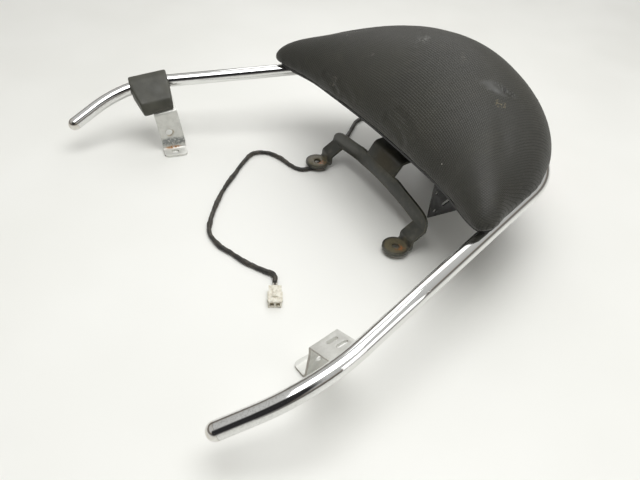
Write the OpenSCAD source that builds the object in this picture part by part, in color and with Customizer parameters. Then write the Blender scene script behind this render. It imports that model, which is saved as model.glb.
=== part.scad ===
// Padded backrest on a bent chrome grab rail for a two-wheeler.
// Millimetres. +Z up, the rider looks along -Y and the left side is +X. The
// origin is midway between the two ear holes, on the underside of the ears.

/* [Grab rail] */
// outside diameter of the rail tube
tube_d = 16; // [14:0.5:19]
// wall thickness of the rail tube
tube_wall = 1.6; // [1.2:0.1:2.5]
// rise of the rail plane towards the rear, in degrees
rail_tilt = 5; // [3:0.5:6]
// height of the rail axis over the ear holes
rail_z = 87.4; // [85:0.2:90]
// half distance between the rail axes at the front bends
bend_x = 258.5; // [250:0.5:265]
// distance of the front bends ahead of the ear holes
bend_y = 192.5; // [185:0.5:200]
// radius of the front bends
bend_r = 150; // [100:5:160]
// half distance between the rail axes where the rear bends would meet
rear_x = 140; // [130:1:150]
// distance of the rear cross run behind the ear holes
rear_y = 163; // [155:1:170]
// radius of the rear bends
rear_r = 90; // [70:5:95]
// half distance between the two end caps
tip_x = 240; // [230:1:250]
// distance of the end cap seams ahead of the ear holes
tip_y = 264; // [255:1:275]
// height of the end cap seams
tip_z = 39.7; // [30:0.5:50]

/* [Front straps] */
// plate thickness of the front straps
strap_t = 2.5; // [2:0.1:3]
// width of the front straps
strap_w = 29; // [24:1:32]
// diameter of the round hole in the upright face
strap_hole_d = 9; // [6:0.5:11]
// diameter of the round hole in the foot
foot_hole_d = 8.5; // [6:0.5:10]
// width of the two slots in the sloping face
adjust_slot_w = 5; // [4:0.5:6]
// length of the two slots in the sloping face
adjust_slot_l = 11; // [9:0.5:14]
// rise of the sloping face towards the rear, in degrees
strap_tilt = 9; // [6:0.5:10]

/* [Centre bracket] */
// plate thickness of the centre bracket
plate_t = 3.2; // [2.5:0.1:4]
// half distance between the two ear holes
ear_x = 91; // [88:0.5:94]
// outside diameter of the ears
ear_d = 30; // [26:1:32]
// diameter of the ear holes
ear_hole_d = 9; // [7:0.5:11]
// height of the underside of the ears
ear_z = 5.3; // [5.2:0.1:7]
// width of the tongue that reaches under the pad
tongue_w = 56; // [50:1:58]
// lean of the bracket's upright plate, in degrees
plate_lean = 8.3; // [6:0.1:10]

/* [Pad] */
// thickness of the moulded base tray
tray_t = 3; // [2.5:0.5:4]
// crown height of the cushion over the tray
crown_h = 80; // [60:1:84]
// how square the cushion profile is, 2 being an ellipse
crown_p = 1.75; // [1.6:0.05:2.4]
// sideways place of the pad on the rail, minus being towards the right
pad_shift = -5.7; // [-6:0.1:0]
// how far the pad is turned on the rail, as rise over run
pad_skew = 0.04; // [0:0.005:0.045]

/* [Lamp] */
// width of the lamp housing under the rear of the pad
lamp_w = 104; // [80:2:110]
// wall thickness of the lamp housing
lamp_wall = 2.5; // [2:0.5:3]

/* [Harness] */
// diameter of the taped harness
cord_d = 5; // [4:0.5:5]

/* [Hidden] */
eps = 0.01;
// the origin is midway between the two ear holes, on the underside of the ears
module place() translate([0, 0, -ear_z]) children();
tube_r = tube_d / 2;
slope = tan(rail_tilt);

function unit(v) = v / norm(v);
function mx(p) = [-p[0], p[1], p[2]];
// height of the rail axis at a given distance behind the ear holes
function rz(y) = rail_z + slope * y;
tip = [tip_x, -tip_y, tip_z];
bend = [bend_x, -bend_y, rz(-bend_y)];
rear = [rear_x, rear_y, rz(rear_y)];
// direction of the straight run, from the front bend to the rear bend
run_dir = unit(rear - bend);
end_dir = unit(tip - bend);
run_a = atan2(-run_dir[0], run_dir[1]);

// a round bar from p to q, hollow when a bore radius is given
module bar(p, q, r, bore = 0) {
  v = q - p; h = norm(v);
  translate(p) rotate([0, acos(v[2] / h), atan2(v[1], v[0])]) difference() {
    cylinder(h = h, r = r, $fn = 36);
    if (bore > 0) translate([0, 0, -1]) cylinder(h = h + 2, r = bore, $fn = 36);
  }
}
// a round bend of radius R at corner c between unit directions a (in) and b (out)
module elbow(c, a, b, R, r, bore) {
  ang = acos(a * b);
  s = c - a * R * tan(ang / 2);
  o = c + unit(b - a) * R / cos(ang / 2);
  X = (s - o) / R; Y = a; Z = cross(X, Y);
  multmatrix([[X[0], Y[0], Z[0], o[0]], [X[1], Y[1], Z[1], o[1]], [X[2], Y[2], Z[2], o[2]], [0, 0, 0, 1]])
    rotate_extrude(angle = ang, $fn = 72) translate([R, 0]) difference() { circle(r = r, $fn = 36); if (bore > 0) circle(r = bore, $fn = 36); }
}
function cut_len(a, b, R) = R * tan(acos(a * b) / 2);
// the butt weld between a straight run and a bend
module weld(p, d, bore) bar(p - d * 0.3, p + d * 0.3, tube_r + 0.05, bore - 0.05);
module grab_rail() color("silver") place() {
  bore = tube_r - tube_wall;
  t1 = cut_len(-end_dir, run_dir, bend_r);
  t2 = cut_len(run_dir, [-1, 0, 0], rear_r);
  for (s = [0, 1]) mirror([s, 0, 0]) {
    bar(tip, bend + end_dir * (t1 + 0.1), tube_r, bore);
    weld(bend + end_dir * t1, end_dir, bore);
    elbow(bend, -end_dir, run_dir, bend_r, tube_r, bore);
    weld(bend + run_dir * t1, run_dir, bore);
    bar(bend + run_dir * (t1 + 0.1), rear - run_dir * (t2 + 0.1), tube_r, bore);
    weld(rear - run_dir * t2, run_dir, bore);
    elbow(rear, run_dir, [-1, 0, 0], rear_r, tube_r, bore);
    weld(rear - [t2, 0, 0], [-1, 0, 0], bore);
  }
  bar([t2 - rear_x + 0.1, rear_y, rz(rear_y)], [rear_x - t2 - 0.1, rear_y, rz(rear_y)], tube_r, bore);
}

// domed cap with a spigot, on +X
module end_cap() {
  v = end_dir;
  translate(tip) rotate([0, acos(v[2]), atan2(v[1], v[0])]) {
    translate([0, 0, 0.15]) cylinder(h = 1.6, r = tube_r - 0.05, $fn = 48);
    intersection() {
      translate([0, 0, 1.5]) sphere(r = tube_r - 0.05, $fn = 64);
      translate([0, 0, 1.5]) cylinder(h = tube_r + 2, r = tube_r + 1, $fn = 48);
    }
    translate([0, 0, -12]) cylinder(h = 12.3, r = tube_r - tube_wall - 0.05, $fn = 48);
  }
}
module end_cap_left() color("gainsboro") place() end_cap();
module end_cap_right() color("gainsboro") place() mirror([1, 0, 0]) end_cap();

// front strap, on +X: sloping face, upright face and foot, bent from one plate
strap_rot = 9;
strap_o = [244.8, -149, 0];
foot_v = -65; up_v0 = -47; up_v1 = -42; slope_z = 52; rail_edge_v = -4; rail_edge_z = rz(-149) - 5.5;
// points of a rounded corner c between a and b
function arc_pts(a, c, b, r, n) = let (u = unit(a - c), w = unit(b - c), h = acos(u * w) / 2,
  o = c + unit(u + w) * r / sin(h), p = c + u * r / tan(h), q = c + w * r / tan(h),
  a0 = atan2(p[1] - o[1], p[0] - o[0]), a1 = atan2(q[1] - o[1], q[0] - o[0]),
  d = (a1 - a0 > 180) ? a1 - a0 - 360 : ((a1 - a0 < -180) ? a1 - a0 + 360 : a1 - a0))
  [for (i = [0:n]) o + r * [cos(a0 + d * i / n), sin(a0 + d * i / n)]];
// the strap's lower and upper faces as one closed outline in (v, z)
function side_line(p0, p1, p2, p3, r1, r2) = concat([p0], arc_pts(p0, p1, p2, r1, 6), arc_pts(p1, p2, p3, r2, 6), [p3]);
function offs(a, b, t) = let (d = unit(b - a)) [-d[1], d[0]] * t;
function meet(a, b, c, t) = let (u = unit(b - a), w = unit(c - b), n = unit([-u[1], u[0]] + [-w[1], w[0]]))
  b + n * t / (n * [-u[1], u[0]]);
sp = [[foot_v, strap_t], [up_v0, strap_t], [up_v1, slope_z], [rail_edge_v, rail_edge_z]];
sq = [[foot_v, 0], meet([foot_v, strap_t], sp[1], sp[2], -strap_t), meet(sp[1], sp[2], sp[3], -strap_t), sp[3] + offs(sp[2], sp[3], -strap_t)];
slope_a = atan2(rail_edge_z - slope_z, rail_edge_v - up_v1);
module strap_frame() translate(strap_o) rotate([0, 0, strap_rot]) children();
module slot2(l, w, h) union() {
  for (s = [-1, 1]) translate([0, s * (l - w) / 2, -h / 2]) cylinder(h = h, d = w, $fn = 32);
  translate([-w / 2, -(l - w) / 2, -h / 2]) cube([w, l - w, h]);
}
module strap_band() translate([0, strap_w / 2 + 1.5, 0]) rotate([90, 0, 0]) linear_extrude(height = strap_w)
  polygon(concat(side_line(sp[0], sp[1], sp[2], sp[3], 3, 5), [for (i = [15:-1:0]) side_line(sq[0], sq[1], sq[2], sq[3], 5.5, 2.5)[i]]));
// everything above the height piv is turned by the tilt
module tilted(piv) translate([0, 1.5, piv]) rotate([strap_tilt, 0, 0]) translate([0, -1.5, -piv]) children();
hole_at = [-44.8, -1, 25];
slot_at = [[10, 4], [20.4, 6.5]];
module front_strap(piv) difference() {
  strap_frame() difference() {
    union() {
      intersection() { strap_band(); translate([-90, -40, -1]) cube([120, 80, piv + 1]); }
      tilted(piv) intersection() { strap_band(); translate([-90, -40, piv - 3]) cube([120, 80, 80]); }
    }
    // rounded corners of the foot
    for (s = [-1, 1]) translate([foot_v, 1.5 + s * strap_w / 2, 0]) difference() {
      translate([-1, s > 0 ? -6 : -1, -1]) cube([7, 7, 5]);
      translate([6, -s * 6, -2]) cylinder(h = 8, r = 6, $fn = 32);
    }
    // holes of the foot and the upright, two slots of the slope
    translate([foot_v + 9.5, 1.5, -3]) cylinder(h = 8, d = foot_hole_d, $fn = 40);
    if (piv > 30) translate(hole_at) rotate([0, 90, 0]) translate([0, 0, -8]) cylinder(h = 16, d = strap_hole_d, $fn = 40);
    if (piv <= 30) tilted(piv) translate(hole_at) rotate([0, 90, 0]) translate([0, 0, -8]) cylinder(h = 16, d = strap_hole_d, $fn = 40);
    tilted(piv) for (p = slot_at) translate([up_v1 + p[0], p[1], slope_z + p[0] * tan(slope_a)]) rotate([0, -slope_a, 0]) rotate([0, 0, -6]) slot2(adjust_slot_l, adjust_slot_w, 12);
  }
  bar(bend, rear, tube_r + 0.09);
  elbow(bend, -end_dir, run_dir, bend_r, tube_r + 0.09, 0);
}
// the left strap is straight, the right one leans forward from its foot
left_piv = 38; right_piv = 11;
module front_strap_left() color("lightsteelblue") place() front_strap(left_piv);
module front_strap_right() color("lightsteelblue") place() mirror([1, 0, 0]) front_strap(right_piv);

// moulded cover that wraps the right rail and hides the sloping face
function rail_at(y) = bend + (rear - bend) * ((y + bend_y) / (rear_y + bend_y));
// where the bent rail enters and leaves the cover
cover_p = [[251.4, -189, 67.5], [243, -142.5, 74.9]];
module screw_frame() strap_frame() tilted(right_piv) translate([up_v1 + slot_at[1][0], slot_at[1][1], slope_z + slot_at[1][0] * tan(slope_a)]) rotate([0, -slope_a, 0]) children();
module cover_shape() {
  hull() {
    bar(cover_p[0], cover_p[1], 14.2);
    strap_frame() tilted(right_piv) {
      translate([-37, -24, 56.7]) rotate([-90, 0, 0]) cylinder(h = 37, r = 5, $fn = 32);
      translate([-31, -25, 63.5]) rotate([-90, 0, 0]) cylinder(h = 39, r = 7, $fn = 32);
    }
  }
}
module strap_cover_right() color("dimgray") place() mirror([1, 0, 0]) difference() {
  cover_shape();
  bar(bend, rear, tube_r + 0.35);
  elbow(bend, -end_dir, run_dir, bend_r, tube_r + 0.15, 0);
  // hole of the screw
  screw_frame() translate([0, 0, -1]) cylinder(h = 9.2, d = 4.1, $fn = 24);
  // room for the strap's sloping and upright faces
  strap_frame() tilted(right_piv) translate([0, strap_w / 2 + 1.8, 0]) rotate([90, 0, 0]) linear_extrude(height = strap_w + 0.6)
    polygon([[-47.8, 14], [-43.2, slope_z + 1.2], [up_v1 + 2, slope_z + 1.9], [1, rail_edge_z + 3.2], [1, rail_edge_z - 3.4], [-15, rail_edge_z - strap_t - 8.2], [-15.5, 14]]);
}
// pan screw that holds the cover through a slot, driven up from below
module cover_screws() color("gray") place() mirror([1, 0, 0]) screw_frame() {
  translate([0, 0, -strap_t - 3.2]) cylinder(h = 3, d = 9, $fn = 32);
  translate([0, 0, -strap_t - 0.3]) cylinder(h = strap_t + 8, d = 4, $fn = 24);
}

// centre bracket: two ears, two legs, an arched upright plate and a stepped tongue
plate_y = 27; plate_z = 26.3;
// right half of the upright plate, across and up from its lower edge
plate_half = [[27.5, 24.2], [31, 25], [34, 25.1], [40, 24.7], [52, 22.7], [64, 21.2], [76, 19.7], [88, 17.7], [94, 15.6], [98.5, 12.3], [101.2, 7.5], [101.7, 1.2], [101.7, -0.8], [84, -0.8], [68, 2.2], [54, 4.2], [41, 5.4], [28, 6.1], [14, 6.9], [0, 7.2]];
module upright_plate() translate([0, plate_y, plate_z]) rotate([90 - plate_lean, 0, 0]) translate([0, 0, -plate_t]) linear_extrude(height = plate_t)
  polygon(concat(plate_half, [for (i = [len(plate_half) - 2:-1:0]) [-plate_half[i][0], plate_half[i][1]]]));
leg_line = [[27.6, 27.6], [27, 26.7], [14.6, 18.7], [13.2, 17.2], [12.4, 15], [12.2, 10.2], [11.2, 8.5], [7, 8.5], [7, 5.3], [14.2, 5.3], [15.3, 6.6], [15.5, 14.2], [16.4, 15.8], [29.2, 24.2], [30, 25.4], [30, 27.6]];
module centre_bracket() color("black") place() union() {
  upright_plate();
  for (s = [0, 1]) mirror([s, 0, 0]) {
    translate([80, 0, ear_z - 5.3]) rotate([90, 0, 90]) linear_extrude(height = 22) polygon(leg_line);
    difference() {
      union() {
        translate([ear_x, 0, ear_z]) cylinder(h = plate_t, d = ear_d, $fn = 64);
        translate([ear_x - 10, 0, ear_z]) cube([20, 9, plate_t]);
      }
      translate([ear_x, 0, ear_z - 1]) cylinder(h = plate_t + 2, d = ear_hole_d, $fn = 48);
    }
  }
  // tongue: leaning riser, shelf, second riser and the flange under the tray
  difference() {
    translate([-tongue_w / 2, 0, 0]) rotate([90, 0, 90]) linear_extrude(height = tongue_w)
      polygon([[31.6, 47.5], [30.6, 50.4], [38, 62.4], [39.6, 64.6], [41.8, 66.2], [44.4, 66.9], [70, 69.3], [74.2, tray_z(76) - 4], [76.5, tray_z(76.5) - 0.05], [118, tray_z(118) - 0.05],
        [118, tray_z(118) - 0.05 - plate_t], [79.4, tray_z(79.4) - 0.05 - plate_t], [77, tray_z(77) - 7], [73, 67.6], [70.4, 66.1], [44.8, 63.7], [43.2, 63], [42.3, 61.9], [33.3, 48.9], [32.4, 47.5]]);
    tray_frame() for (p = bolt_at) translate([p[0], p[1], -8]) cylinder(h = 12, d = 6.4, $fn = 32);
  }
}
// underside of the tray, which lies on the rail
function tray_z(y) = rail_z + (tube_r + 0.1) / cos(rail_tilt) + slope * y;
module tray_frame() translate([0, 0, tray_z(0)]) rotate([rail_tilt, 0, 0]) children();
bolt_at = [[-15, 100], [15, 100]];
module tongue_bolts() color("dimgray") place() tray_frame() for (p = bolt_at) translate([p[0], p[1], 0]) {
  translate([0, 0, -plate_t - 1.5 - 5]) cylinder(h = 5, d = 11.5, $fn = 6);
  translate([0, 0, -plate_t - 1.6]) cylinder(h = plate_t + 1.6 + tray_t, d = 6, $fn = 32);
}
module tongue_washers() color("silver") place() tray_frame() for (p = bolt_at) translate([p[0], p[1], -plate_t - 1.5]) difference() {
  cylinder(h = 1.4, d = 14, $fn = 40);
  translate([0, 0, -1]) cylinder(h = 4, d = 6.2, $fn = 32);
}

// plan outline of the pad, drawn through hand-set corner points and mirrored
half_line = [[0, 13.5], [45, 12.5], [90, 10.5], [130, 8], [165, 1], [188, -3], [200, -1], [204, 13], [192, 40], [184, 72], [169.5, 104], [143.5, 139.5], [106, 170], [56, 191.5]];
nh = len(half_line);
function skew(q) = [q[0] + pad_shift, q[1] + pad_skew * q[0]];
ring0 = concat(half_line, [[0, 200.5]], [for (i = [nh - 1:-1:1]) [-half_line[i][0], half_line[i][1]]]);
ring = [for (q = ring0) skew(q)];
nr = len(ring);
function cr(a, b, c, d, t) = 0.5 * ((2 * b) + (c - a) * t + (2 * a - 5 * b + 4 * c - d) * t * t + (3 * b - a - 3 * c + d) * t * t * t);
sub = 4;
outline = [for (i = [0:nr - 1]) for (k = [0:sub - 1]) cr(ring[(i + nr - 1) % nr], ring[i], ring[(i + 1) % nr], ring[(i + 2) % nr], k / sub)];
no = len(outline);
// the ridge that the cushion rises to; a front point and its rear partner share one ridge point
half = no / 2; quarter = no / 4;
function ridge_i(i) = let (h = i <= half ? i : no - i, k = h <= quarter ? h : half - h, x = 142.5 * sin(90 * k / quarter))
  skew([i <= half ? x : -x, 117 - 51 * pow(x / 142.5, 2.2)]);
function ridge_h(x) = crown_h * (1 - 0.5 * pow(min(1, abs(x - pad_shift) / 142.5), 1.75));
rows = 14;
function row_s(j) = 1 - cos(90 * j / rows);
function bulge(s) = pow(1 - pow(1 - s, crown_p), 1 / crown_p);
function pad_pt(i, j) = let (p = outline[i], q = ridge_i(i), s = row_s(j), m = p + (q - p) * s)
  [m[0], m[1], tray_t + 0.2 + 6 * min(1, j + 1) + (ridge_h(q[0]) - 6) * bulge(s)];
// ridge points are kept once: the right half, then the left half
function ridge_id(i) = let (h = i <= half ? i : no - i, k = h <= quarter ? h : half - h) (i <= half || k == 0) ? k : quarter + k;
module pad_cushion() color("darkslategray") place() tray_frame() {
  low = [for (i = [0:no - 1]) let (p = outline[i], q = ridge_i(i), m = p + (q - p) * 0.03) [m[0], m[1], tray_t + 0.2]];
  rb = (rows + 1) * no; cb = rb + 2 * quarter + 1;
  pts = concat(low, [for (j = [0:rows - 1]) for (i = [0:no - 1]) pad_pt(i, j)],
    [for (k = [0:quarter]) pad_pt(k, rows)], [for (k = [1:quarter]) pad_pt(no - k, rows)], [[0, 90, tray_t + 0.2]]);
  polyhedron(points = pts, faces = concat(
    [for (i = [0:no - 1]) [cb, i, (i + 1) % no]],
    [for (j = [0:rows - 1]) for (i = [0:no - 1]) let (a = j * no + i, b = j * no + (i + 1) % no) each [[a, a + no, b + no], [a, b + no, b]]],
    [for (i = [0:no - 1]) let (a = rows * no + i, b = rows * no + (i + 1) % no, c = rb + ridge_id(i), d = rb + ridge_id((i + 1) % no)) each [[a, c, d], [a, d, b]]]
  ), convexity = 4);
}
module pad_tray() color("black") place() tray_frame() difference() {
  linear_extrude(height = tray_t) polygon([for (p = outline) [pad_shift + (p[0] - pad_shift) * 0.96, 14 + (p[1] - 8) * 0.955]]);
  for (p = bolt_at) translate([p[0], p[1], -1]) cylinder(h = tray_t + 2, d = 6.1, $fn = 32);
  for (p = [[-40, 183], [40, 183], [side_x - 9, 52], [side_x - 9, 90]]) translate([p[0], p[1], -1]) cylinder(h = tray_t + 2, d = 4.1, $fn = 24);
  for (s = [-1, 1]) for (t = [-15, 15]) translate([s * clamp_x, clamp_v + t, -1]) cylinder(h = tray_t + 2, d = 5.1, $fn = 32);
  for (s = [0, 1]) mirror([s, 0, 0]) translate([rail_at(tab_y)[0], tab_y, 0]) rotate([0, 0, run_a]) translate([-18, 0, -1]) cylinder(h = tray_t + 2, d = 5.1, $fn = 32);
}
// clamps under the rear run, screwed up into the tray
clamp_x = 64;
// the clamps' place along the tray, whose frame turns about another line
clamp_v = (rear_y + (rz(rear_y) - tray_z(0)) * slope) * cos(rail_tilt);
clamp_w = 12;
module clamp_frame() translate([0, rear_y, rz(rear_y)]) rotate([rail_tilt, 0, 0]) children();
module rail_clamps() color("silver") place() for (s = [-1, 1]) clamp_frame() translate([s * clamp_x - clamp_w / 2, 0, 0]) difference() {
  rotate([90, 0, 90]) linear_extrude(height = clamp_w) difference() {
    union() {
      circle(r = tube_r + 1.55, $fn = 64);
      translate([-tube_r - 1.55, 0]) square([2 * tube_r + 3.1, tube_r]);
      translate([-21, tube_r - 1.5]) square([42, 1.5]);
    }
    circle(r = tube_r + 0.05, $fn = 64);
    translate([-tube_r - 0.05, 0]) square([2 * tube_r + 0.1, 30]);
  }
  for (t = [-15, 15]) translate([clamp_w / 2, t, 0]) cylinder(h = 20, d = 5.2, $fn = 32);
}
module pan_screw(head_d, head_h, d, l) union() {
  translate([0, 0, -head_h]) cylinder(h = head_h, d = head_d, $fn = 40);
  translate([0, 0, -0.5]) cylinder(h = l + 0.5, d = d, $fn = 32);
}
module clamp_screws() color("gray") place() for (s = [-1, 1]) for (t = [-15, 15]) clamp_frame()
  translate([s * clamp_x, t, tube_r - 1.5]) pan_screw(9, 3, 5, 1.5 + tray_t);

// tabs welded to the inner side of the straight runs, screwed up into the tray
tab_y = 66;
module tab_frame() tray_frame() translate([rail_at(tab_y)[0], tab_y, 0]) rotate([0, 0, run_a]) children();
module rail_tabs() color("silver") place() for (s = [0, 1]) mirror([s, 0, 0]) difference() {
  tab_frame() difference() {
    translate([-27, -8, -2.5]) cube([25, 16, 2.45]);
    translate([-18, 0, -4]) cylinder(h = 8, d = 5.2, $fn = 32);
  }
  bar(bend, rear, tube_r + 0.03);
}
module tab_screws() color("gray") place() for (s = [0, 1]) mirror([s, 0, 0]) tab_frame() translate([-18, 0, -2.5]) pan_screw(9, 3, 5, 2.5 + tray_t);

// thin plate that hangs under the left half of the pad
side_x = 90;
module side_plate() color("black") place() {
  difference() {
    translate([side_x - 0.75, 0, 0]) rotate([90, 0, 90]) linear_extrude(height = 1.5) difference() {
      polygon([[38, 35], [104, 31.5], [104, tray_z(104) - 0.1], [38, tray_z(38) - 0.1]]);
      translate([45.7, 42]) circle(d = 4.5, $fn = 32);
      translate([43.3, 66.5]) circle(d = 4, $fn = 32);
      translate([61, 51]) rotate(30) union() { square([10, 5.5], center = true); translate([-5, 0]) circle(d = 5.5, $fn = 32); translate([5, 0]) circle(d = 5.5, $fn = 32); }
      for (y = [76, 92]) translate([y, 46]) circle(d = 6, $fn = 32);
    }
  }
  tray_frame() difference() {
    translate([side_x - 16, 39, -1.6]) cube([16, 64, 1.5]);
    for (y = [52, 90]) translate([side_x - 9, y, -3]) cylinder(h = 5, d = 4.2, $fn = 24);
  }
}
module side_plate_screws() color("gray") place() tray_frame() for (y = [52, 90]) translate([side_x - 9, y, -1.6]) pan_screw(7.5, 2.4, 4, 1.6 + tray_t);

// lamp under the rear of the pad: housing open to the rear, lens, board
lamp_y0 = 152; lamp_y1 = 192; step_y = rear_y + 10.5; step_z = rz(rear_y) - 10;
function lamp_out(g) = [[lamp_y0 + g, g + 3], [lamp_y0 + g + 3, g], [lamp_y1, g], [lamp_y1, tray_z(lamp_y1) - 0.1 - g], [step_y + g, tray_z(step_y + g) - 0.1 - g], [step_y + g, step_z - g], [lamp_y0 + g, step_z - g]];
module lamp_housing() color("black") place() difference() {
  translate([-lamp_w / 2, 0, 0]) rotate([90, 0, 90]) linear_extrude(height = lamp_w) polygon(lamp_out(0));
  difference() {
    translate([-lamp_w / 2 + lamp_wall, 0.1, 0]) rotate([90, 0, 90]) linear_extrude(height = lamp_w - 2 * lamp_wall) polygon(lamp_out(lamp_wall));
    // ribs that carry the board
    for (x = [-38, 38]) translate([x - 4, lamp_y0, 0]) cube([8, 22, 90]);
  }
  for (x = [-40, 40]) tray_frame() translate([x, 183, -12]) cylinder(h = 20, d = 4.2, $fn = 24);
  translate([-lamp_w / 2 - 2, grommet_at[1], grommet_at[2]]) rotate([0, 90, 0]) cylinder(h = 6, d = 9, $fn = 40);
}
module lamp_screws() color("gray") place() for (x = [-40, 40]) tray_frame() translate([x, 183, -lamp_wall - 0.1]) pan_screw(7.5, 2.4, 4, lamp_wall + tray_t);
module lamp_lens() color("red") place() difference() {
  translate([-lamp_w / 2, 0, 0]) rotate([90, 0, 90]) linear_extrude(height = lamp_w)
    polygon([[lamp_y1 + 0.05, 0.2], [lamp_y1 + 3, 2], [lamp_y1 + 4.5, 20], [lamp_y1 + 4.5, tray_z(190) - 20], [lamp_y1 + 3, tray_z(190) - 3], [lamp_y1 + 0.05, tray_z(190) - 1]]);
  translate([-lamp_w / 2 + lamp_wall, 0, 0]) rotate([90, 0, 90]) linear_extrude(height = lamp_w - 2 * lamp_wall)
    polygon([[lamp_y1 - 1, 3], [lamp_y1 + 1, 4], [lamp_y1 + 2.3, 21], [lamp_y1 + 2.3, tray_z(190) - 21], [lamp_y1 + 1, tray_z(190) - 5], [lamp_y1 - 1, tray_z(190) - 4]]);
}
board_y = 174.1;
module lamp_board() color("green") place() difference() {
  translate([-45, board_y, 12]) cube([90, 1.6, 70]);
  for (x = [-30, 30]) for (z = [16, 78]) translate([x, board_y - 1, z]) rotate([-90, 0, 0]) cylinder(h = 4, d = 3, $fn = 24);
}
module lamp_leds() color("white") place() for (x = [-36, -12, 12, 36]) for (z = [32, 56]) translate([x, board_y + 1.6, z]) rotate([-90, 0, 0]) {
  cylinder(h = 4, d = 5, $fn = 32);
  translate([0, 4, 0]) translate([0, -4, 4]) sphere(r = 2.5, $fn = 32);
}
grommet_at = [-lamp_w / 2, 170, 20];
module harness_grommet() color("black") place() translate(grommet_at) rotate([0, -90, 0]) difference() {
  union() {
    translate([0, 0, -lamp_wall - 0.5]) cylinder(h = lamp_wall + 1.5, d = 8.9, $fn = 40);
    translate([0, 0, 0.05]) cylinder(h = 3, d = 13, $fn = 40);
    translate([0, 0, -lamp_wall - 2.05]) cylinder(h = 2, d = 12, $fn = 40);
    translate([0, 0, 3]) cylinder(h = 7, d1 = 10, d2 = 7.4, $fn = 40);
  }
  translate([0, 0, -1]) cylinder(h = 30, d = cord_d + 0.1, $fn = 40);
}

// taped harness: route points set by hand, from the grommet to the plug wires
fz = cord_d / 2 + 0.1;
plug_o = [92, -146.5, 0];
plug_a = -25.5;
function plug_at(u) = [plug_o[0] + u * cos(plug_a), plug_o[1] + u * sin(plug_a), 3.2];
route = [[-51, 170, 20], [-56, 170, 20], [-61, 170, 20], [-70, 169.6, 19], [-82, 168, 14.5], [-94, 165.5, 8], [-107, 161.5, 3.4], [-122, 156, fz], [-142, 148.5, fz],
  [-160, 138, fz], [-171, 122, fz], [-168, 106, fz], [-153, 89, fz], [-135, 69, fz], [-114, 38, fz], [-98, 14, fz], [-89, -5, fz], [-87, -18, fz], [-91, -27, fz], [-104, -33, fz],
  [-124, -38, fz], [-142, -49, fz], [-146, -67, fz], [-132, -86, fz], [-112, -106, fz], [-90, -128, fz], [-62, -150, fz],
  [-36, -167, fz], [-16, -175, fz], [6, -173, fz], [24, -165.5, fz], [42, -158, fz], [54, -151, fz], [64, -144.5, 2.7], [70.5, -139.6, 3.0], plug_at(-16), plug_at(-12), plug_at(-8)];
nrt = len(route);
per = 2;
line = concat([for (i = [0:nrt - 2]) for (k = [0:per - 1])
  cr(route[max(0, i - 1)], route[i], route[i + 1], route[min(nrt - 1, i + 2)], k / per)], [route[nrt - 1]]);
nl = len(line);
function tang(i) = unit(line[min(nl - 1, i + 1)] - line[max(0, i - 1)]);
// parallel-carried side directions, so the tube does not twist
function carry(i, v) = i >= nl ? [] : let (t = tang(i), w = unit(v - t * (v * t))) concat([w], carry(i + 1, w));
sides = carry(0, [0, 0, 1]);
cs = 10;
module harness() color("black") place() {
  pts = [for (i = [0:nl - 1]) let (t = tang(i), u = sides[i], w = cross(t, u)) for (k = [0:cs - 1]) line[i] + (u * cos(360 * k / cs) + w * sin(360 * k / cs)) * cord_d / 2];
  polyhedron(points = pts, faces = concat(
    [[for (k = [0:cs - 1]) k]],
    [for (i = [0:nl - 2]) for (k = [0:cs - 1]) let (a = i * cs + k, b = i * cs + (k + 1) % cs) each [[a, a + cs, b + cs], [a, b + cs, b]]],
    [[for (k = [cs - 1:-1:0]) (nl - 1) * cs + k]]), convexity = 10);
}
// two-way plug at the free end
plug_l = 23; plug_w = 13; plug_h = 8.4;
module plug_frame() translate(plug_o) rotate([0, 0, plug_a]) children();
module plug_wires() color("ivory") place() plug_frame() for (s = [-1, 1])
  translate([-7.98, s * 1.5, 3.2]) rotate([0, 90, 0]) cylinder(h = 13.98, r = 0.9, $fn = 24);
module connector_housing() color("ivory") place() plug_frame() difference() {
  union() {
    translate([0, -plug_w / 2, 0]) cube([plug_l, plug_w, plug_h]);
    // latch on the upper face and the two side rails
    translate([4, -2.5, plug_h]) cube([13, 5, 1.2]);
    translate([14, -2.5, plug_h + 1.2]) cube([3, 5, 1]);
    for (s = [-1, 1]) translate([6, s * plug_w / 2 - (s > 0 ? 0 : 1), 2.5]) cube([12, 1, 3]);
  }
  for (s = [-1, 1]) {
    translate([9, s * 3 - 2, 2.2]) cube([20, 4, 4]);
    translate([-1, s * 1.5, 3.2]) rotate([0, 90, 0]) cylinder(h = 12, r = 0.95, $fn = 32);
  }
}
module connector_terminals() color("gold") place() plug_frame() for (s = [-1, 1]) difference() {
  translate([9.05, s * 3 - 1.4, 2.25]) cube([11, 2.8, 2.9]);
  translate([10, s * 3 - 0.9, 2.75]) cube([12, 1.8, 1.9]);
}

grab_rail();
end_cap_left();
end_cap_right();
front_strap_left();
front_strap_right();
strap_cover_right();
cover_screws();
centre_bracket();
tongue_bolts();
tongue_washers();
pad_cushion();
pad_tray();
rail_clamps();
clamp_screws();
rail_tabs();
tab_screws();
side_plate();
side_plate_screws();
lamp_housing();
lamp_lens();
lamp_board();
lamp_leds();
lamp_screws();
harness_grommet();
harness();
plug_wires();
connector_housing();
connector_terminals();
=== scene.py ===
import math
import bmesh
import bpy
from mathutils import Matrix, Vector
from mathutils.bvhtree import BVHTree
from mathutils.noise import noise

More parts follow.
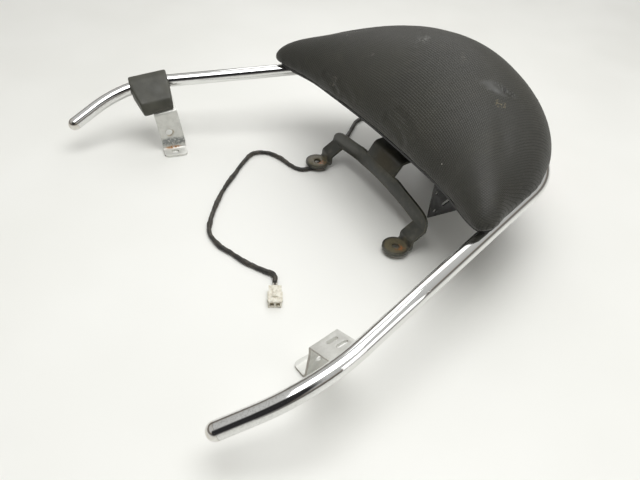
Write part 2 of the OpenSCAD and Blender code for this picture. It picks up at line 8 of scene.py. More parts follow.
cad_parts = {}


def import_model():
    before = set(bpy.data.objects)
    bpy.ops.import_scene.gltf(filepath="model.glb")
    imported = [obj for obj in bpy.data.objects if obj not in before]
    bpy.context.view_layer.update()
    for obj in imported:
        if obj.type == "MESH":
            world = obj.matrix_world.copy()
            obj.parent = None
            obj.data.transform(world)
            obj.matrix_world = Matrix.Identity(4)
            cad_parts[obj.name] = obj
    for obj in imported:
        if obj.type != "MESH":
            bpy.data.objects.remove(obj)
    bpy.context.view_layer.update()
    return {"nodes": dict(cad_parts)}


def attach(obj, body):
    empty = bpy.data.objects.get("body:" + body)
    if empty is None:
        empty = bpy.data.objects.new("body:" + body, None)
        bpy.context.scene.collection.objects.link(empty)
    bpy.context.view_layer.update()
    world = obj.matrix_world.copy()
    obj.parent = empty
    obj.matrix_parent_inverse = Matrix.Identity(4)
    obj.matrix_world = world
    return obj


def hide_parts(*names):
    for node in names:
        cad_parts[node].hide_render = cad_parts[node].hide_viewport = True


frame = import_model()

NODES = frame["nodes"]
SCENE = bpy.context.scene
COL = SCENE.collection
FLOOR = -0.0053
EAR_Z = 0.0053          # the part's frame starts at the underside of the ears

# ------------------------------------------------------------------ camera
T, A = math.radians(42.6), math.radians(61.7)
FW = Vector((-math.sin(A) * math.cos(T), math.cos(A) * math.cos(T), -math.sin(T)))
RT = Vector((math.cos(A), math.sin(A), 0.0))
UP = RT.cross(FW)
TILT = Matrix.Rotation(math.radians(4.4), 3, "X")
FW, RT, UP = TILT @ FW, TILT @ RT, TILT @ UP
CAM = Vector((0.4884, -0.3430, 0.4425))
F_PX = 617.7
cam_data = bpy.data.cameras.new("camera")
cam_data.sensor_width = 36.0
cam_data.sensor_fit = "HORIZONTAL"
cam_data.lens = F_PX * 36.0 / 640.0
cam_data.clip_start = 0.01
cam = bpy.data.objects.new("camera", cam_data)
COL.objects.link(cam)
cam.matrix_world = Matrix((
    (RT[0], UP[0], -FW[0], CAM[0]), (RT[1], UP[1], -FW[1], CAM[1]),
    (RT[2], UP[2], -FW[2], CAM[2]), (0, 0, 0, 1)))
SCENE.camera = cam


def ray(px, py):
    """Direction through a pixel of the 640 x 480 frame."""
    return (FW + RT * ((px - 320.0) / F_PX) + UP * ((240.0 - py) / F_PX)).normalized()


# ------------------------------------------------------------------ mesh helpers
def obj(name, verts, faces, smooth=True):
    me = bpy.data.meshes.new(name)
    me.from_pydata([tuple(v) for v in verts], [], faces)
    me.validate()
    bm = bmesh.new(); bm.from_mesh(me)
    bmesh.ops.recalc_face_normals(bm, faces=bm.faces)
    bm.to_mesh(me); bm.free()
    if smooth:
        for p in me.polygons:
            p.use_smooth = True
    o = bpy.data.objects.new(name, me)
    COL.objects.link(o)
    return o


def apply(o):
    """Bakes an object's modifiers into its mesh."""
    dg = bpy.context.evaluated_depsgraph_get()
    me = bpy.data.meshes.new_from_object(o.evaluated_get(dg), depsgraph=dg)
    old = o.data
    o.modifiers.clear()
    o.data = me
    bpy.data.meshes.remove(old)
    return o


def copy_node(node, name):
    o = bpy.data.objects.new(name, NODES[node].data.copy())
    COL.objects.link(o)
    bm = bmesh.new(); bm.from_mesh(o.data)
    bmesh.ops.remove_doubles(bm, verts=bm.verts, dist=2e-6)
    bm.to_mesh(o.data); bm.free()
    if o.data.has_custom_normals:
        bpy.context.view_layer.objects.active = o
    return o


def softened(node, name, width, angle=32.0, segments=2):
    """A CAD node's own shape with its edges rounded off, standing for the node."""
    o = copy_node(node, name)
    bm = bmesh.new(); bm.from_mesh(o.data)
    bmesh.ops.dissolve_limit(bm, angle_limit=math.radians(0.6), verts=bm.verts, edges=bm.edges)
    bm.to_mesh(o.data); bm.free()
    m = o.modifiers.new("b", "BEVEL")
    m.width = width
    m.segments = segments
    m.limit_method = "ANGLE"
    m.angle_limit = math.radians(angle)
    m.use_clamp_overlap = True
    apply(o)
    for p in o.data.polygons:
        p.use_smooth = True
    o.data.set_sharp_from_angle(angle=math.radians(38))
    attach(o, "root")
    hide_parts(node)
    return o


def tube(name, line, radius, sides=12, caps=True, up=Vector((0, 0, 1))):
    """A swept tube; radius is a number or a function of (i, angle, distance)."""
    n = len(line)
    verts, faces, dist = [], [], 0.0
    u = None
    for i, p in enumerate(line):
        t = (line[min(n - 1, i + 1)] - line[max(0, i - 1)]).normalized()
        u = (up if u is None else u)
        u = (u - t * u.dot(t)).normalized()
        w = t.cross(u)
        if i:
            dist += (p - line[i - 1]).length
        for k in range(sides):
            a = 2 * math.pi * k / sides
            r = radius(i, a, dist) if callable(radius) else radius
            verts.append(p + (u * math.cos(a) + w * math.sin(a)) * r)
    for i in range(n - 1):
        for k in range(sides):
            a, b = i * sides + k, i * sides + (k + 1) % sides
            faces.append((a, b, b + sides, a + sides))
    if caps:
        faces.append(tuple(range(sides)))
        faces.append(tuple((n - 1) * sides + k for k in reversed(range(sides))))
    return obj(name, verts, faces)


def catmull(pts, per):
    out = []
    n = len(pts)
    for i in range(n - 1):
        a, b, c, d = pts[max(0, i - 1)], pts[i], pts[i + 1], pts[min(n - 1, i + 2)]
        for k in range(per):
            t = k / per
            out.append(0.5 * ((2 * b) + (c - a) * t + (2 * a - 5 * b + 4 * c - d) * t * t + (3 * b - a - 3 * c + d) * t ** 3))
    out.append(pts[-1].copy())
    return out


# ------------------------------------------------------------------ material helpers
class Mat:
    def __init__(self, name, base, rough=0.5, metal=0.0, **sockets):
        self.m = bpy.data.materials.new(name)
        self.m.use_nodes = True
        self.t = self.m.node_tree
        self.b = next(n for n in self.t.nodes if n.type == "BSDF_PRINCIPLED")
        self.b.inputs["Base Color"].default_value = (*base, 1)
        self.b.inputs["Roughness"].default_value = rough
        self.b.inputs["Metallic"].default_value = metal
        for k, v in sockets.items():
            self.b.inputs[k.replace("_", " ")].default_value = v
        self.tc = self.t.nodes.new("ShaderNodeTexCoord")
        self.co = self.tc.outputs["Object"]
        self.color = None
        self.rough = None
        self.height = None

    def node(self, kind, **props):
        n = self.t.nodes.new(kind)
        for k, v in props.items():
            setattr(n, k, v)
        return n

    def put(self, sock, v):
        if hasattr(v, "is_output"):
            self.t.links.new(v, sock)
        elif isinstance(v, (tuple, list)) and len(v) == 3 and sock.type == "RGBA":
            sock.default_value = (*v, 1)
        else:
            sock.default_value = v

    def math(self, op, a, b=0.5, c=None, clamp=False):
        n = self.node("ShaderNodeMath", operation=op, use_clamp=clamp)
        self.put(n.inputs[0], a); self.put(n.inputs[1], b)
        if c is not None:
            self.put(n.inputs[2], c)
        return n.outputs[0]

    def noise(self, scale, detail=4.0, rough=0.55, distortion=0.0, co=None, kind="FBM"):
        n = self.node("ShaderNodeTexNoise")
        self.put(n.inputs["Vector"], co or self.co)
        n.inputs["Scale"].default_value = scale
        n.inputs["Detail"].default_value = detail
        n.inputs["Roughness"].default_value = rough
        n.inputs["Distortion"].default_value = distortion
        return n.outputs["Fac"]

    def stretch(self, sx, sy, sz, rot=(0, 0, 0), co=None):
        n = self.node("ShaderNodeMapping")
        self.put(n.inputs["Vector"], co or self.co)
        n.inputs["Scale"].default_value = (sx, sy, sz)
        n.inputs["Rotation"].default_value = rot
        return n.outputs[0]

    def voronoi(self, scale, feature="F1", out="Distance", co=None, rand=1.0):
        n = self.node("ShaderNodeTexVoronoi", feature=feature)
        self.put(n.inputs["Vector"], co or self.co)
        n.inputs["Scale"].default_value = scale
        n.inputs["Randomness"].default_value = rand
        return n.outputs[out]

    def ramp(self, v, a, b, to0=0.0, to1=1.0, smooth=True):
        n = self.node("ShaderNodeMapRange", interpolation_type="SMOOTHSTEP" if smooth else "LINEAR")
        self.put(n.inputs[0], v)
        for i, x in enumerate((a, b, to0, to1)):
            n.inputs[1 + i].default_value = x
        return n.outputs[0]

    def mix(self, fac, a, b):
        n = self.node("ShaderNodeMix", data_type="RGBA")
        self.put(n.inputs[0], fac); self.put(n.inputs[6], a); self.put(n.inputs[7], b)
        return n.outputs[2]

    def lerp(self, fac, a, b):
        n = self.node("ShaderNodeMix", data_type="FLOAT")
        self.put(n.inputs[0], fac); self.put(n.inputs[2], a); self.put(n.inputs[3], b)
        return n.outputs[0]

    def xyz(self):
        n = self.node("ShaderNodeSeparateXYZ")
        self.put(n.inputs[0], self.co)
        return n.outputs

    def near(self, p, r0, r1, squash=(1, 1, 1), rot=0.0, wobble=0.0, wscale=60.0):
        """1 inside r0 of a point, 0 beyond r1, its edge broken up by noise."""
        s = self.node("ShaderNodeVectorMath", operation="SUBTRACT")
        self.put(s.inputs[0], self.co); s.inputs[1].default_value = tuple(p)
        v = s.outputs[0]
        if rot:
            r = self.node("ShaderNodeVectorRotate", rotation_type="Z_AXIS")
            self.put(r.inputs["Vector"], v); r.inputs["Angle"].default_value = rot
            v = r.outputs[0]
        k = self.node("ShaderNodeVectorMath", operation="MULTIPLY")
        self.put(k.inputs[0], v); k.inputs[1].default_value = squash
        ln = self.node("ShaderNodeVectorMath", operation="LENGTH")
        self.put(ln.inputs[0], k.outputs[0])
        d = ln.outputs["Value"]
        if wobble:
            d = self.math("ADD", d, self.math("MULTIPLY", self.math("SUBTRACT", self.noise(wscale, 3), 0.5), wobble))
        return self.ramp(d, r0, r1, 1.0, 0.0)

    def edge(self, radius=0.0012, lo=0.02, hi=0.25):
        """Where the surface turns sharply, as on a worn edge."""
        bv = self.node("ShaderNodeBevel", samples=6)
        bv.inputs["Radius"].default_value = radius
        g = self.node("ShaderNodeNewGeometry")
        d = self.node("ShaderNodeVectorMath", operation="DOT_PRODUCT")
        self.put(d.inputs[0], bv.outputs[0]); self.put(d.inputs[1], g.outputs["Normal"])
        return self.ramp(self.math("SUBTRACT", 1.0, d.outputs["Value"]), lo, hi)

    def bump(self, height, strength=0.4, distance=0.0004, normal=None):
        n = self.node("ShaderNodeBump")
        n.inputs["Strength"].default_value = strength
        n.inputs["Distance"].default_value = distance
        self.put(n.inputs["Height"], height)
        if normal is not None:
            self.put(n.inputs["Normal"], normal)
        return n.outputs[0]

    def done(self, color=None, rough=None, normal=None):
        if color is not None:
            self.put(self.b.inputs["Base Color"], color)
        if rough is not None:
            self.put(self.b.inputs["Roughness"], rough)
        if normal is not None:
            self.put(self.b.inputs["Normal"], normal)
        return self.m


def paint(o, m):
    if isinstance(o, str):
        o = NODES[o]
    if not o.data.materials:
        o.data.materials.append(m)
    for s in o.material_slots:
        s.material = m


# ------------------------------------------------------------------ materials
def chrome():
    k = Mat("chrome_plate", (0.80, 0.80, 0.79), 0.05, 1.0)
    tint_mottle = k.ramp(k.noise(38, 5), 0.45, 0.75)
    scr = k.ramp(k.noise(900, 3, co=k.stretch(1, 0.06, 0.2)), 0.62, 0.72)
    pit = k.ramp(k.voronoi(330), 0.0, 0.11, 1.0, 0.0)
    some = k.ramp(k.noise(60, 2), 0.56, 0.66)
    pit = k.math("MULTIPLY", pit, some)
    c = k.mix(k.math("MULTIPLY", tint_mottle, 0.25), (0.80, 0.80, 0.79), (0.70, 0.69, 0.66))
    c = k.mix(pit, c, (0.16, 0.10, 0.05))
    x = k.xyz()
    # darker grey mottle over the front part of the rail (y below -0.14): a painted dark reflection, made a touch
    # rougher too
    front = k.ramp(x["Y"], -0.20, -0.14, 1.0, 0.0)
    front_dark_reflection_mottle = k.math("MULTIPLY", k.ramp(k.noise(520, 5, 0.75), 0.44, 0.66), front)
    c = k.mix(k.math("MULTIPLY", front_dark_reflection_mottle, 0.30), c, (0.34, 0.33, 0.32))
    r = k.math("ADD", k.math("MULTIPLY", tint_mottle, 0.06), k.math("MULTIPLY", scr, 0.07))
    r = k.math("ADD", r, k.math("MULTIPLY", front_dark_reflection_mottle, 0.08))
    r = k.math("ADD", r, 0.035)
    r = k.math("ADD", r, k.math("MULTIPLY", pit, 0.4))
    n = k.bump(k.math("SUBTRACT", k.math("MULTIPLY", k.noise(24, 2), 0.6), pit), 0.10, 0.0003)
    return k.done(c, r, n)


def cap_chrome():
    k = Mat("cap_chrome", (0.78, 0.77, 0.75), 0.08, 1.0)
    # the brown mottle over the caps is a painted brown reflection
    tint_mottle = k.ramp(k.noise(120, 5), 0.40, 0.70)
    c = k.mix(tint_mottle, (0.80, 0.79, 0.77), (0.60, 0.56, 0.50))
    r = k.math("ADD", k.math("MULTIPLY", tint_mottle, 0.10), 0.07)
    return k.done(c, r, k.bump(k.noise(260, 3), 0.12, 0.0002))


def zinc(name, rust_and_reflection_spots=None):
    k = Mat(name, (0.74, 0.75, 0.74), 0.42, 0.40)
    mott = k.ramp(k.noise(140, 5), 0.35, 0.68)
    c = k.mix(mott, (0.72, 0.72, 0.68), (0.64, 0.64, 0.60))
    scr = k.ramp(k.noise(1600, 2, co=k.stretch(0.08, 1, 1, rot=(0, 0, 0.5))), 0.63, 0.70)
    c = k.mix(k.math("MULTIPLY", scr, 0.25), c, (0.86, 0.87, 0.87))
    bloom = k.ramp(k.noise(55, 4), 0.55, 0.72)
    c = k.mix(k.math("MULTIPLY", bloom, 0.20), c, (0.60, 0.60, 0.55))
    r = k.math("ADD", k.math("MULTIPLY", mott, 0.12), 0.34)
    r = k.math("ADD", r, k.math("MULTIPLY", bloom, 0.10))
    ed = k.edge(0.0011, 0.03, 0.35)
    c = k.mix(k.math("MULTIPLY", ed, 0.75), c, (0.16, 0.135, 0.105))
    # the sheared faces of the plate are browned
    g = k.node("ShaderNodeNewGeometry")
    sp = k.node("ShaderNodeSeparateXYZ"); k.put(sp.inputs[0], g.outputs["Normal"])
    cut = k.ramp(k.math("ABSOLUTE", sp.outputs[1]), 0.88, 0.96)
    c = k.mix(k.math("MULTIPLY", cut, 0.70), c, (0.20, 0.16, 0.125))
    # spots of rust and stain; on the far strap one of them is a dark grey band along the bend, a painted dark
    # reflection
    if rust_and_reflection_spots:
        for p, r0, r1, sq, col in rust_and_reflection_spots:
            f = k.near(p, r0, r1, sq, wobble=r1 * 0.7, wscale=220)
            f = k.math("MULTIPLY", f, k.ramp(k.noise(420, 4), 0.30, 0.52))
            c = k.mix(f, c, col)
            r = k.lerp(f, r, 0.85)
    return k.done(c, r, k.bump(k.noise(700, 4), 0.15, 0.00015))


def black_steel():
    k = Mat("black_painted_steel", (0.035, 0.036, 0.031), 0.42)
    fine = k.noise(520, 4)
    patch = k.ramp(k.noise(32, 5, 0.6), 0.42, 0.70)
    c = k.mix(patch, (0.034, 0.035, 0.029), (0.062, 0.061, 0.047))
    dust = k.ramp(k.noise(130, 5, 0.7), 0.50, 0.74)
    c = k.mix(k.math("MULTIPLY", dust, 0.40), c, (0.118, 0.112, 0.082))
    ed = k.edge(0.0016, 0.03, 0.22)
    ed = k.math("MULTIPLY", ed, k.ramp(k.noise(85, 4), 0.30, 0.60, 0.25, 1.0))
    c = k.mix(ed, c, (0.175, 0.160, 0.092))
    # scraped plating and rust about the two ear holes
    for s in (-1, 1):
        p = (s * 0.091, 0.0, 0.0033)
        ring = k.near(p, 0.0110, 0.0140, (1, 1, 0.6), wobble=0.003, wscale=320)
        ring = k.math("MULTIPLY", ring, k.ramp(k.noise(300, 4), 0.28, 0.50, 0.55, 1.0))
        c = k.mix(k.math("MULTIPLY", ring, 0.75), c, (0.150, 0.128, 0.074))
        hot = k.near((s * 0.091 + 0.0052, 0.0020, 0.0030), 0.0020, 0.0074, (1, 1, 0.5), wobble=0.006, wscale=260)
        hot = k.math("MULTIPLY", hot, k.ramp(k.noise(350, 3), 0.42, 0.56))
        c = k.mix(k.math("MULTIPLY", hot, 0.75), c, (0.36, 0.120, 0.032))
    # brown streak on the tongue's face
    f = k.near((0.004, 0.036, 0.052), 0.003, 0.022, (0.8, 1.0, 1), wobble=0.016, wscale=80)
    c = k.mix(k.math("MULTIPLY", f, 0.55), c, (0.095, 0.080, 0.048))
    r = k.math("ADD", k.math("MULTIPLY", dust, 0.20), 0.30)
    r = k.lerp(ed, r, 0.55)
    n = k.bump(k.math("ADD", fine, k.math("MULTIPLY", k.noise(90, 3), 1.2)), 0.20, 0.00022)
    return k.done(c, r, n)


def thin_black():
    k = Mat("black_plate", (0.012, 0.012, 0.012), 0.38)
    c = k.mix(k.ramp(k.noise(200, 4), 0.45, 0.75), (0.010, 0.010, 0.010), (0.026, 0.024, 0.021))
    ed = k.edge(0.0008, 0.05, 0.3)
    c = k.mix(k.math("MULTIPLY", ed, 0.5), c, (0.10, 0.095, 0.08))
    return k.done(c, k.ramp(k.noise(160, 4), 0.3, 0.7, 0.30, 0.5), k.bump(k.noise(600, 3), 0.12, 0.00012))


def plastic(name, a, b, rough, grain=1400, strength=0.28):
    k = Mat(name, a, rough)
    c = k.mix(k.ramp(k.noise(45, 5), 0.35, 0.7), a, b)
    ed = k.edge(0.0012, 0.04, 0.35)
    c = k.mix(k.math("MULTIPLY", ed, 0.35), c, tuple(min(1, x * 1.9 + 0.02) for x in b))
    g = k.noise(grain, 3)
    return k.done(c, k.ramp(k.noise(80, 4), 0.3, 0.7, rough - 0.06, rough + 0.10), k.bump(g, strength, 0.00025))


def tape():
    k = Mat("wound_tape", (0.020, 0.020, 0.018), 0.42)
    c = k.mix(k.ramp(k.noise(120, 5), 0.38, 0.68), (0.018, 0.017, 0.015), (0.060, 0.052, 0.040))
    c = k.mix(k.ramp(k.noise(420, 3), 0.60, 0.74), c, (0.150, 0.128, 0.092))
    return k.done(c, k.ramp(k.noise(90, 4), 0.3, 0.7, 0.34, 0.62), k.bump(k.noise(520, 4), 0.35, 0.0003))


def ivory():
    k = Mat("ivory_nylon", (0.78, 0.74, 0.63), 0.38)
    k.b.inputs["Subsurface Weight"].default_value = 0.06
    k.b.inputs["Subsurface Radius"].default_value = (0.002, 0.0015, 0.001)
    c = k.mix(k.ramp(k.noise(260, 4), 0.4, 0.7), (0.80, 0.77, 0.67), (0.60, 0.56, 0.45))
    c = k.mix(k.ramp(k.noise(900, 2), 0.66, 0.74), c, (0.25, 0.21, 0.15))
    return k.done(c, k.ramp(k.noise(200, 3), 0.3, 0.7, 0.32, 0.5), k.bump(k.noise(700, 2), 0.1, 0.0001))


def simple(name, a, b, rough, metal=0.0, scale=200, bump=0.12):
    k = Mat(name, a, rough, metal)
    c = k.mix(k.ramp(k.noise(scale, 4), 0.35, 0.7), a, b)
    return k.done(c, k.ramp(k.noise(scale * 0.7, 3), 0.3, 0.7, max(0.04, rough - 0.07), rough + 0.1), k.bump(k.noise(scale * 3, 3), bump, 0.00015))


def red_lens():
    k = Mat("red_lens", (0.55, 0.012, 0.010), 0.10)
    k.b.inputs["Transmission Weight"].default_value = 0.55
    k.b.inputs["IOR"].default_value = 1.49
    x = k.xyz()
    flute = k.math("SINE", k.math("MULTIPLY", x["X"], 1700.0))
    c = k.mix(k.ramp(k.noise(60, 3), 0.3, 0.7), (0.58, 0.012, 0.010), (0.40, 0.008, 0.006))
    return k.done(c, k.ramp(k.noise(90, 3), 0.3, 0.7, 0.08, 0.16), k.bump(flute, 0.25, 0.0004))


# ------------------------------------------------------------------ the cord
PLUG_O, PLUG_A = (92.0, -146.5), math.radians(-25.5)
FZ = 2.6


def plug_at(u):
    return (PLUG_O[0] + u * math.cos(PLUG_A), PLUG_O[1] + u * math.sin(PLUG_A), 3.2)


ROUTE = [(-51, 170, 20), (-56, 170, 20), (-61, 170, 20), (-70, 169.6, 19), (-82, 168, 14.5), (-94, 165.5, 8), (-107, 161.5, 3.4), (-122, 156, FZ), (-142, 148.5, FZ),
         (-160, 138, FZ), (-171, 122, FZ), (-168, 106, FZ), (-153, 89, FZ), (-135, 69, FZ), (-114, 38, FZ), (-98, 14, FZ), (-89, -5, FZ), (-87, -18, FZ), (-91, -27, FZ), (-104, -33, FZ),
         (-124, -38, FZ), (-142, -49, FZ), (-146, -67, FZ), (-132, -86, FZ), (-112, -106, FZ), (-90, -128, FZ), (-62, -150, FZ),
         (-36, -167, FZ), (-16, -175, FZ), (6, -173, FZ), (24, -165.5, FZ), (42, -158, FZ), (54, -151, FZ), (64, -144.5, 2.7), (70.5, -139.6, 3.0), plug_at(-16), plug_at(-12), plug_at(-8)]
LINE = catmull([Vector((x * 0.001, y * 0.001, z * 0.001 - EAR_Z)) for x, y, z in ROUTE], 18)
LUMPS = [(0.205, 0.010, 0.00050), (0.262, 0.006, 0.00045), (0.300, 0.010, 0.0004), (0.348, 0.007, 0.0005), (0.395, 0.012, 0.0004), (0.452, 0.008, 0.00055),
         (0.505, 0.010, 0.0005), (0.545, 0.006, 0.0006), (0.585, 0.009, 0.0005), (0.625, 0.007, 0.0006), (0.655, 0.010, 0.0004)]


def cord_r(i, a, d):
    turn = (d / 0.0105 + a / (2 * math.pi)) % 1.0
    lap = 0.00038 * (1.0 if turn < 0.10 else (1.0 - (turn - 0.10) / 0.9))
    r = 0.00225 + lap
    for c, w, h in LUMPS:
        r += h * math.exp(-((d - c) / w) ** 2)
    r += 0.00050 * noise(Vector((d * 90.0, math.cos(a) * 1.2, math.sin(a) * 1.2 + 7.0)))
    p = LINE[i]
    room = p.z - FLOOR
    # stays on the floor and flattens a touch where it lies
    if math.cos(a) < 0 and room < 0.004:
        r = min(r, (room - 0.00002) / max(0.05, -math.cos(a)))
    if d < 0.012:
        r = min(r, 0.00245)
    return r


harness = tube("taped_harness", LINE, cord_r, 20)
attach(harness, "root")
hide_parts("harness")
paint(harness, tape())

# ------------------------------------------------------------------ the pad
RAIL_TILT = math.radians(5.0)
TRAY_Z0 = (87.4 + 8.1 / math.cos(RAIL_TILT)) * 0.001 - EAR_Z
TRAY = Matrix.Translation((0, 0, TRAY_Z0)) @ Matrix.Rotation(RAIL_TILT, 4, "X")
TRAY_INV = TRAY.inverted()


def make_pad():
    pad = copy_node("pad_cushion", "pad_cover")
    m = pad.modifiers.new("r", "REMESH")
    m.mode = "VOXEL"
    m.voxel_size = 0.0045
    apply(pad)
    me = pad.data
    rest = [v.co.copy() for v in me.vertices]
    norms = [v.normal.copy() for v in me.vertices]
    low = [(TRAY_INV @ p).z for p in rest]
    # starts a little smaller, so that the pressure fills it to its size
    for v, n, h in zip(me.vertices, norms, low):
        k = max(0.0, min(1.0, (h - 0.006) / 0.012))
        v.co = v.co - n * 0.0008 * k
    start = [v.co.copy() for v in me.vertices]
    g = pad.vertex_groups.new(name="pin")
    for i, h in enumerate(low):
        w = max(0.0, min(1.0, 1.0 - (h - 0.0045) / 0.006))
        if w > 0:
            g.add([i], w, "REPLACE")
    c = pad.modifiers.new("c", "CLOTH")
    s = c.settings
    s.quality = 5
    s.mass = 0.35
    s.tension_stiffness = s.compression_stiffness = 22
    s.shear_stiffness = 9
    s.bending_stiffness = 2.2
    s.vertex_group_mass = "pin"
    s.use_pressure = True
    s.uniform_pressure_force = 3.2
    s.effector_weights.gravity = 0.0
    c.collision_settings.use_collision = False
    c.point_cache.frame_start = 1
    c.point_cache.frame_end = 20
    for f in range(1, 21):
        SCENE.frame_set(f)
    apply(pad)
    SCENE.frame_set(1)
    me = pad.data
    for v, p in zip(me.vertices, start):
        d = v.co - p
        if d.length > 0.0065:
            v.co = p + d * (0.0065 / d.length)
    # even out the remesh steps
    m = pad.modifiers.new("s", "SMOOTH")
    m.factor = 0.5
    m.iterations = 7
    m = pad.modifiers.new("d", "SUBSURF")
    m.levels = m.render_levels = 1
    apply(pad)
    return pad


pad = make_pad()


def hit(px, py, tree):
    p, n, _, _ = tree.ray_cast(CAM, ray(px, py))
    return p, n


def pad_tree():
    bm = bmesh.new(); bm.from_mesh(pad.data)
    t = BVHTree.FromBMesh(bm); bm.free()
    return t


tree = pad_tree()
SPOT = {}
for key, (px, py) in {"scuff": (424, 39), "patch": (494, 87), "tear": (505, 90), "scratch": (500, 104), "left": (333, 82), "left2": (345, 90), "mid": (371, 55),
                      "back": (400, 122), "faint": (463, 57), "dot": (442, 164), "dot2": (347, 35)}.items():
    p, n = hit(px, py, tree)
    SPOT[key] = (p if p is not None else Vector((0, 0.1, 0.15)), n if n is not None else Vector((0, 0, 1)))


def px_line(pts):
    out = []
    for q in pts:
        p, n = hit(q[0], q[1], tree)
        if p is not None:
            out.append((p, n))
    return out


# creases, the tear and the dents are worked into the mesh
def dent_lines():
    lines = []
    for pts, depth, width in (
        ([(387, 118), (394, 124), (400, 133), (403, 143)], 0.0011, 0.0045),
        ([(398, 112), (406, 122), (411, 134)], 0.0008, 0.0045),
        ([(325, 74), (333, 84), (337, 92)], 0.0009, 0.0035),
        ([(341, 82), (348, 92), (352, 99)], 0.0006, 0.0040),
        ([(497, 84), (504, 91), (512, 95)], 0.0013, 0.0028),
        ([(494, 92), (504, 94), (515, 97)], 0.0008, 0.0026),
        ([(420, 30), (421, 38), (417, 45)], 0.0005, 0.0030),
    ):
        lines.append((px_line(pts), depth, width))
    return lines


def seg_dist(p, a, b):
    ab = b - a
    t = max(0.0, min(1.0, (p - a).dot(ab) / max(1e-12, ab.length_squared)))
    return (p - (a + ab * t)).length


def work_pad():
    me = pad.data
    lines = dent_lines()
    norms = [v.normal.copy() for v in me.vertices]
    for v, n in zip(me.vertices, norms):
        p = v.co
        q = TRAY_INV @ p
        if q.z < 0.006:
            continue
        off = 0.00035 * noise(p * 22.0) + 0.00016 * noise(p * 60.0)
        for pts, depth, width in lines:
            if len(pts) < 2 or (p - pts[0][0]).length > 0.06:
                continue
            d = min(seg_dist(p, pts[i][0], pts[i + 1][0]) for i in range(len(pts) - 1))
            if d < width * 3:
                off -= depth * math.exp(-(d / width) ** 2) - 0.35 * depth * math.exp(-((d - 1.6 * width) / width) ** 2)
        v.co = p + n * off
    for poly in me.polygons:
        poly.use_smooth = True
    # weave coordinates: across is x, along is the run over the crown
    uv = me.uv_layers.new(name="weave")
    co = [TRAY_INV @ v.co for v in me.vertices]
    for poly in me.polygons:
        for li, vi in zip(poly.loop_indices, poly.vertices):
            c = co[vi]
            xs = c.x + 0.0057
            yc = 0.106 - 0.051 * min(1.0, abs(xs) / 0.1425) ** 2.2 * 0.8 + 0.04 * xs
            ang = math.atan2(c.z + 0.006, c.y - yc)
            run = 0.078 * (math.pi / 2 - ang)
            far = max(0.0, abs(c.x) - 0.150)
            uv.data[li].uv = (c.x + math.copysign(far * 0.35, c.x), run)


work_pad()


